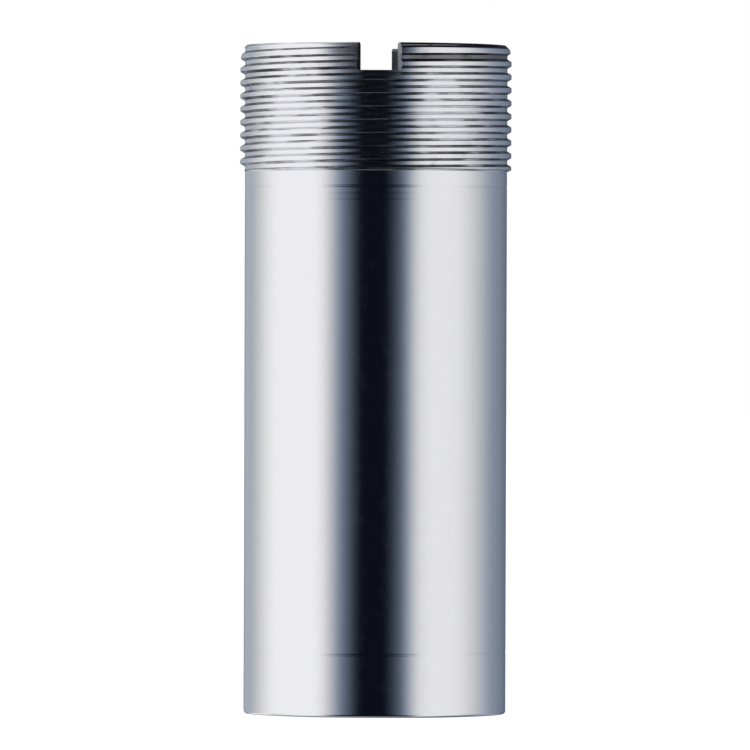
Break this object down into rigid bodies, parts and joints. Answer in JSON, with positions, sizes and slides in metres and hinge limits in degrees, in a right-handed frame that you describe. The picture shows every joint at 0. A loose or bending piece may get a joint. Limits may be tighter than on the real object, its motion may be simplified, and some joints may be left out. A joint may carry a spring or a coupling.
{
  "type": "slotted threaded tube",
  "caption": "One-piece turned steel tube: a fine outside thread and a wrench slot across the rim at one end, a long smooth skirt below, and a plain straight bore.",
  "frame": {"origin": "centre of the plain end's face, on the tube's axis", "axes": "+Z along the axis from the plain end to the threaded rim; the wrench slot runs along Y"},
  "size_m": [0.0208, 0.0208, 0.051],
  "materials": {
    "polished_steel": "bright polished, fine turning lines round the skirt"
  },
  "bodies": {
    "root": {"threaded_tube": "polished_steel"}
  },
  "joints": []
}
